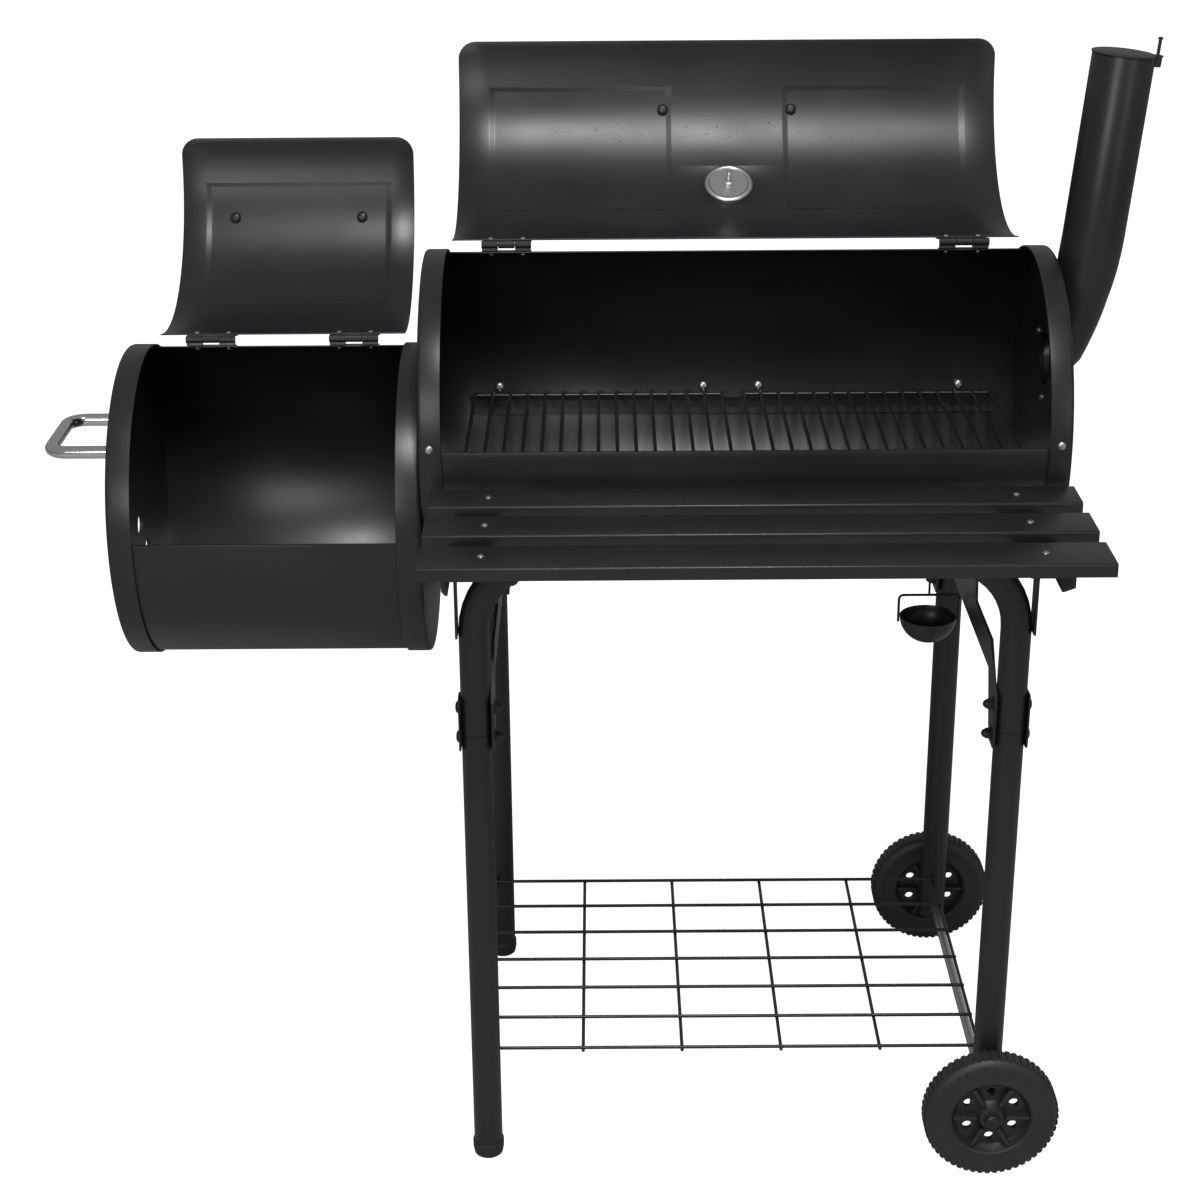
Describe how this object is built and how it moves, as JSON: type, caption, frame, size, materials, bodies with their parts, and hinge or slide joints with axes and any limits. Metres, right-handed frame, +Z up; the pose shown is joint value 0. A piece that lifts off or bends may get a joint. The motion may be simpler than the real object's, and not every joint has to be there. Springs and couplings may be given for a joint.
{
  "type": "offset smoker",
  "caption": "Charcoal barrel smoker with a lower side firebox, hinged lids held open, leaning chimney, slatted front shelf, tube legs, wire shelf and wheels.",
  "frame": {"origin": "on the ground, under the middle of the whole object's box", "axes": "+Z up, front of the smoker towards -Y, firebox towards -X, chimney and wheels towards +X"},
  "size_m": [1.1831, 0.7205, 1.2095],
  "materials": {
    "heat_paint": "satin black heat-resistant paint on pressed sheet steel",
    "frame_paint": "semi-gloss black paint on steel tube",
    "enamelled_wire": "black enamel on steel wire",
    "bright_chrome": "polished chrome",
    "gauge_steel": "satin stainless steel",
    "zinc_bolt": "zinc plated",
    "wheel_plastic": "moulded matt plastic",
    "foot_plastic": "moulded matt plastic"
  },
  "bodies": {
    "smoker_body": {"axle": "zinc_bolt", "axle_nut_front": "zinc_bolt", "axle_nut_rear": "zinc_bolt", "barrel_end_left": "heat_paint", "barrel_end_right": "heat_paint", "barrel_hinge_left_fixed_leaf": "heat_paint", "barrel_hinge_right_fixed_leaf": "heat_paint", "barrel_shell": "heat_paint", "bottom_shelf": "enamelled_wire", "chimney_pipe": "heat_paint", "end_brace_left": "frame_paint", "end_brace_right": "frame_paint", "firebox_end_left": "heat_paint", "firebox_end_right": "heat_paint", "firebox_hinge_left_fixed_leaf": "heat_paint", "firebox_hinge_right_fixed_leaf": "heat_paint", "firebox_shell": "heat_paint", "firebox_side_handle": "bright_chrome", "foot_cap_front": "foot_plastic", "foot_cap_rear": "foot_plastic", "grate_rail_front": "heat_paint", "grate_rail_rear": "heat_paint", "joint_bolt_front_left": "zinc_bolt", "joint_bolt_front_right": "zinc_bolt", "joint_bolt_rear_left": "zinc_bolt", "joint_bolt_rear_right": "zinc_bolt", "joint_plate_front_left": "frame_paint", "joint_plate_front_right": "frame_paint", "joint_plate_rear_left": "frame_paint", "joint_plate_rear_right": "frame_paint", "leg_front_left": "frame_paint", "leg_front_right": "frame_paint", "leg_rear_left": "frame_paint", "leg_rear_right": "frame_paint", "shelf_bracket_left": "frame_paint", "shelf_bracket_right": "frame_paint", "shelf_slat_front": "heat_paint", "shelf_slat_middle": "heat_paint", "shelf_slat_rear": "heat_paint", "upper_frame_front": "frame_paint", "upper_frame_rear": "frame_paint"},
    "barrel_lid": {"barrel_hinge_left_lid_leaf": "heat_paint", "barrel_hinge_right_lid_leaf": "heat_paint", "barrel_lid": "heat_paint", "barrel_lid_handle": "heat_paint", "thermometer_case": "gauge_steel"},
    "gauge_needle": {"thermometer_needle": "gauge_steel"},
    "firebox_lid": {"firebox_hinge_left_lid_leaf": "heat_paint", "firebox_hinge_right_lid_leaf": "heat_paint", "firebox_lid": "heat_paint", "firebox_lid_handle": "heat_paint"},
    "damper_disc": {"chimney_damper": "heat_paint"},
    "air_vent": {"firebox_air_damper": "heat_paint"},
    "wheel_front": {"wheel_front": "wheel_plastic"},
    "wheel_rear": {"wheel_rear": "wheel_plastic"},
    "grate_left": {"cooking_grate_left": "enamelled_wire"},
    "grate_right": {"cooking_grate_right": "enamelled_wire"},
    "hanging_cup": {"grease_cup": "heat_paint", "cup_hanger": "enamelled_wire"}
  },
  "joints": [
    {"name": "barrel_lid_hinge", "type": "hinge", "parent": "smoker_body", "child": "barrel_lid", "pos_m": [0.1571, 0.10044, 0.98328], "axis": [1, 0, 0], "range_deg": [0, 178]},
    {"name": "firebox_lid_hinge", "type": "hinge", "parent": "smoker_body", "child": "firebox_lid", "pos_m": [-0.3417, 0.09933, 0.87946], "axis": [1, 0, 0], "range_deg": [0, 178]},
    {"name": "gauge_needle_turn", "type": "hinge", "parent": "barrel_lid", "child": "gauge_needle", "pos_m": [0.1571, 0.25094, 1.01189], "axis": [0, 0.5736, -0.8192], "range_deg": [0, 270]},
    {"name": "chimney_damper_swivel", "type": "hinge", "parent": "smoker_body", "child": "damper_disc", "pos_m": [0.58567, 0.0438, 1.1894], "axis": [0.0906, 0, 0.9959], "range_deg": [0, 120]},
    {"name": "air_damper_turn", "type": "hinge", "parent": "smoker_body", "child": "air_vent", "pos_m": [-0.5055, 0.0438, 0.655], "axis": [-1, 0, 0], "range_deg": [0, 60]},
    {"name": "front_wheel_spin", "type": "hinge", "parent": "smoker_body", "child": "wheel_front", "pos_m": [0.4371, -0.1969, 0.075], "axis": [0, 1, 0], "continuous": true},
    {"name": "rear_wheel_spin", "type": "hinge", "parent": "smoker_body", "child": "wheel_rear", "pos_m": [0.4371, 0.2845, 0.075], "axis": [0, 1, 0], "continuous": true},
    {"name": "left_grate_lift", "type": "slide", "parent": "smoker_body", "child": "grate_left", "axis": [0, 0, 1], "range_m": [0, 0.07]},
    {"name": "right_grate_lift", "type": "slide", "parent": "smoker_body", "child": "grate_right", "axis": [0, 0, 1], "range_m": [0, 0.07]},
    {"name": "cup_swing", "type": "hinge", "parent": "smoker_body", "child": "hanging_cup", "pos_m": [0.3791, 0.0438, 0.6458], "axis": [1, 0, 0], "range_deg": [-20, 20]}
  ]
}
